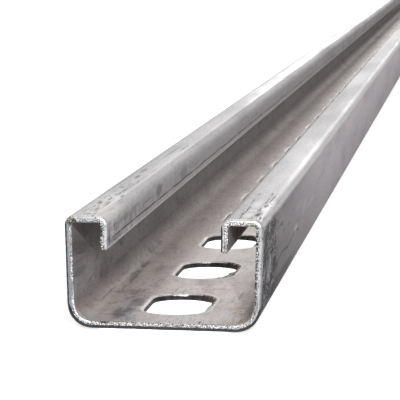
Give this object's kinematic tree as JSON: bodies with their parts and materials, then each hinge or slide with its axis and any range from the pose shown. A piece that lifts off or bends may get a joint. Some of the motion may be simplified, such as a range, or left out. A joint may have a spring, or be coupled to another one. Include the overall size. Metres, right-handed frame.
{
  "type": "strut channel",
  "caption": "Shallow slotted steel strut channel with inturned lips and a row of oblong bolt slots along its back.",
  "frame": {"origin": "middle of the bar's length and width, on the outer face of the back", "axes": "+Y along the bar, +Z out of the open side, +X across the bar"},
  "size_m": [0.041, 2, 0.0235],
  "materials": {
    "galvanised_steel": "pre-galvanised steel strip, dull silver grey, with streaks along the bar, faint stains and scuffs, and bare cut ends"
  },
  "bodies": {
    "root": {"strut_channel": "galvanised_steel"}
  },
  "joints": []
}
